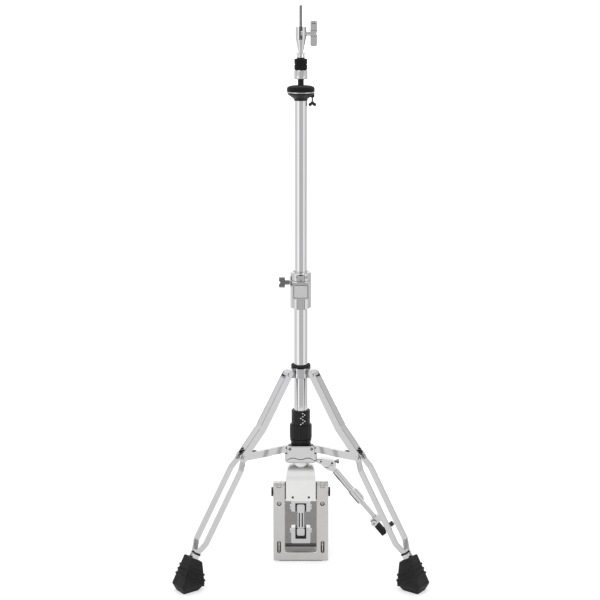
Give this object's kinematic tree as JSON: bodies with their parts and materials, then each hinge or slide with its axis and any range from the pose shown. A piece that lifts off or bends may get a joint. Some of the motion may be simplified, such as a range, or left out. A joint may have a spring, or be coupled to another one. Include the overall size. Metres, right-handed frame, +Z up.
{
  "type": "hi-hat stand",
  "caption": "Chromed drum hi-hat stand: telescoping tube on folding legs, tilting cymbal seat, clutch on a pull rod, direct-drive foot pedal and a side stabiliser arm.",
  "frame": {"origin": "on the floor under the tube axis, on the underside of the pedal's rubber pad", "axes": "+Z up along the tube and rods, -Y to the side the legs stand on, +Y along the footboard to the heel, +X to the stabiliser arm's side"},
  "size_m": [0.5084, 0.531, 1.129],
  "materials": {
    "chrome": "polished chrome plate",
    "satin_frame": "satin, fine machined",
    "black_nylon": "matte black moulded nylon",
    "black_gloss": "semi-gloss black moulded plastic",
    "black_paint": "satin black enamel",
    "steel": "zinc-plated steel",
    "rubber": "matte black rubber",
    "felt": "black pressed wool felt"
  },
  "bodies": {
    "column": {"lower_tube": "chrome", "height_collar": "chrome", "column_bushings": "black_nylon", "spring_housing": "black_nylon", "neck": "satin_frame"},
    "memory_lock": {"memory_lock": "chrome"},
    "collar_wing": {"collar_wing_bolt": "chrome"},
    "mast": {"upper_tube": "chrome", "seat_cup": "black_gloss", "seat_sleeve": "black_nylon"},
    "seat": {"seat_tilt_plate": "chrome", "seat_felt": "felt"},
    "tilt_screw": {"tilt_screw": "steel"},
    "tilt_wing_nut": {"tilt_wing_nut": "black_paint"},
    "clutch": {"clutch_body": "chrome", "clutch_felts": "felt", "clutch_bottom_nut": "chrome"},
    "clutch_top_nut": {"clutch_top_nut": "chrome"},
    "clutch_wing": {"clutch_wing_screw": "chrome"},
    "pull": {"cymbal_rod": "steel", "pull_rod": "steel", "rod_coupling": "steel", "rod_clevis": "satin_frame", "rod_pin": "steel"},
    "spring_seat": {"spring_seat": "steel", "return_spring": "steel"},
    "tension_knob": {"tension_knob": "black_nylon"},
    "link": {"drive_link": "satin_frame"},
    "leg_base": {"lower_hub": "chrome", "hub_clamp": "chrome", "brace_pivot_bolts": "steel", "arm_bracket": "chrome"},
    "slide_hub": {"upper_hub": "chrome", "hub_bushing": "black_nylon"},
    "left_leg": {"left_leg_channel": "chrome", "left_leg_bars": "chrome", "left_foot": "rubber"},
    "left_brace": {"left_brace": "chrome"},
    "right_leg": {"right_leg_channel": "chrome", "right_leg_bars": "chrome", "right_foot": "rubber"},
    "right_brace": {"right_brace": "chrome"},
    "arm": {"arm_outer_tube": "chrome", "arm_lock_sleeve": "chrome"},
    "arm_lock_wing": {"arm_lock_wing": "chrome"},
    "arm_rod": {"arm_inner_rod": "chrome", "hoop_clamp": "chrome", "hoop_pad": "rubber"},
    "hoop_screw": {"hoop_screw": "black_paint"},
    "pedal": {"pedal_frame": "satin_frame", "frame_hinge_bolts": "black_paint", "pedal_screws": "steel", "base_plate": "steel", "rubber_pads": "rubber", "heel_plate": "satin_frame"},
    "footboard": {"footboard": "satin_frame", "toe_clevis": "chrome", "toe_pin": "steel"},
    "left_spur": {"left_floor_spur": "steel"},
    "right_spur": {"right_floor_spur": "steel"}
  },
  "joints": [
    {"name": "mast_height", "type": "slide", "parent": "column", "child": "mast", "axis": [0, 0, 1], "range_m": [-0.17, 0]},
    {"name": "memory_lock_slide", "type": "slide", "parent": "column", "child": "memory_lock", "axis": [0, 0, 1], "range_m": [0, 0.08]},
    {"name": "collar_wing_turn", "type": "hinge", "parent": "column", "child": "collar_wing", "pos_m": [-0.022, 0, 0.586], "axis": [1, 0, 0], "range_deg": [-90, 90]},
    {"name": "seat_tilt", "type": "hinge", "parent": "mast", "child": "seat", "pos_m": [-0.02, 0, 0.963], "axis": [0, -1, 0], "range_deg": [0, 3]},
    {"name": "tilt_screw_lift", "type": "slide", "parent": "mast", "child": "tilt_screw", "axis": [0, 0, 1], "range_m": [0, 0.00223]},
    {"name": "tilt_nut_turn", "type": "hinge", "parent": "tilt_screw", "child": "tilt_wing_nut", "pos_m": [0.0225, 0, 0.95], "axis": [0, 0, 1], "range_deg": [0, 800]},
    {"name": "clutch_height", "type": "slide", "parent": "mast", "child": "clutch", "axis": [0, 0, 1], "range_m": [0, 0.038]},
    {"name": "clutch_nut_turn", "type": "hinge", "parent": "clutch", "child": "clutch_top_nut", "pos_m": [0, 0, 1.032], "axis": [0, 0, 1], "continuous": true},
    {"name": "clutch_wing_turn", "type": "hinge", "parent": "clutch", "child": "clutch_wing", "pos_m": [0.013, 0, 1.0755], "axis": [1, 0, 0], "range_deg": [-90, 90]},
    {"name": "footboard_press", "type": "hinge", "parent": "pedal", "child": "footboard", "pos_m": [0, 0.262, 0.017], "axis": [1, 0, 0], "range_deg": [0, 3.5]},
    {"name": "rod_stroke", "type": "slide", "parent": "column", "child": "pull", "axis": [0, 0, 1], "range_m": [-0.01625, 0], "deforming": ["return_spring"]},
    {"name": "link_swing", "type": "hinge", "parent": "pull", "child": "link", "pos_m": [0, 0, 0.108], "axis": [1, 0, 0], "range_deg": [-2.1, 0]},
    {"name": "tension_knob_turn", "type": "hinge", "parent": "column", "child": "tension_knob", "pos_m": [0, 0, 0.275], "axis": [0, 0, 1], "range_deg": [-720, 720]},
    {"name": "spring_seat_lift", "type": "slide", "parent": "column", "child": "spring_seat", "axis": [0, 0, 1], "range_m": [-0.0031, 0.0031]},
    {"name": "leg_swivel", "type": "hinge", "parent": "column", "child": "leg_base", "pos_m": [0, 0, 0.238], "axis": [0, 0, 1], "range_deg": [-45, 45]},
    {"name": "leg_fold", "type": "slide", "parent": "leg_base", "child": "slide_hub", "axis": [0, 0, 1], "range_m": [0, 0.11]},
    {"name": "left_leg_fold", "type": "hinge", "parent": "slide_hub", "child": "left_leg", "pos_m": [-0.02649, -0.01968, 0.401], "axis": [-0.5962, 0.8028, 0], "range_deg": [-14, 0]},
    {"name": "left_brace_fold", "type": "hinge", "parent": "leg_base", "child": "left_brace", "pos_m": [-0.0273, -0.02027, 0.244], "axis": [-0.5962, 0.8028, 0], "range_deg": [0, 49]},
    {"name": "right_leg_fold", "type": "hinge", "parent": "slide_hub", "child": "right_leg", "pos_m": [0.02649, -0.01968, 0.401], "axis": [-0.5962, -0.8028, 0], "range_deg": [-14, 0]},
    {"name": "right_brace_fold", "type": "hinge", "parent": "leg_base", "child": "right_brace", "pos_m": [0.0273, -0.02027, 0.244], "axis": [-0.5962, -0.8028, 0], "range_deg": [0, 49]},
    {"name": "arm_raise", "type": "hinge", "parent": "leg_base", "child": "arm", "pos_m": [0.062, -0.012, 0.203], "axis": [0, -1, 0], "range_deg": [0, 30]},
    {"name": "arm_lock_turn", "type": "hinge", "parent": "leg_base", "child": "arm_lock_wing", "pos_m": [0.07, -0.012, 0.213], "axis": [1, 0, 0], "range_deg": [-90, 90]},
    {"name": "arm_reach", "type": "slide", "parent": "arm", "child": "arm_rod", "axis": [0.6309, 0, -0.7759], "range_m": [0, 0.03]},
    {"name": "hoop_screw_turn", "type": "hinge", "parent": "arm_rod", "child": "hoop_screw", "pos_m": [0.17432, -0.012, 0.06487], "axis": [0.7759, 0, 0.6309], "range_deg": [-360, 360]},
    {"name": "pedal_fold", "type": "hinge", "parent": "column", "child": "pedal", "pos_m": [0, -0.02, 0.15], "axis": [1, 0, 0], "range_deg": [0, 80]},
    {"name": "left_spur_out", "type": "slide", "parent": "pedal", "child": "left_spur", "axis": [0, 0, 1], "range_m": [-0.006, 0]},
    {"name": "right_spur_out", "type": "slide", "parent": "pedal", "child": "right_spur", "axis": [0, 0, 1], "range_m": [-0.006, 0]}
  ],
  "couplings": [
    {"joint": "rod_stroke", "follows": "footboard_press", "m_per_rad": -0.2635},
    {"joint": "link_swing", "follows": "footboard_press", "ratio": -0.5653},
    {"joint": "tilt_screw_lift", "follows": "seat_tilt", "m_per_rad": 0.0425},
    {"joint": "tilt_nut_turn", "follows": "seat_tilt", "ratio": 260},
    {"joint": "spring_seat_lift", "follows": "tension_knob_turn", "m_per_rad": 0.00023873},
    {"joint": "left_leg_fold", "follows": "leg_fold", "rad_per_m": -2.08},
    {"joint": "left_brace_fold", "follows": "leg_fold", "rad_per_m": 7.63},
    {"joint": "right_leg_fold", "follows": "leg_fold", "rad_per_m": -2.08},
    {"joint": "right_brace_fold", "follows": "leg_fold", "rad_per_m": 7.63}
  ]
}
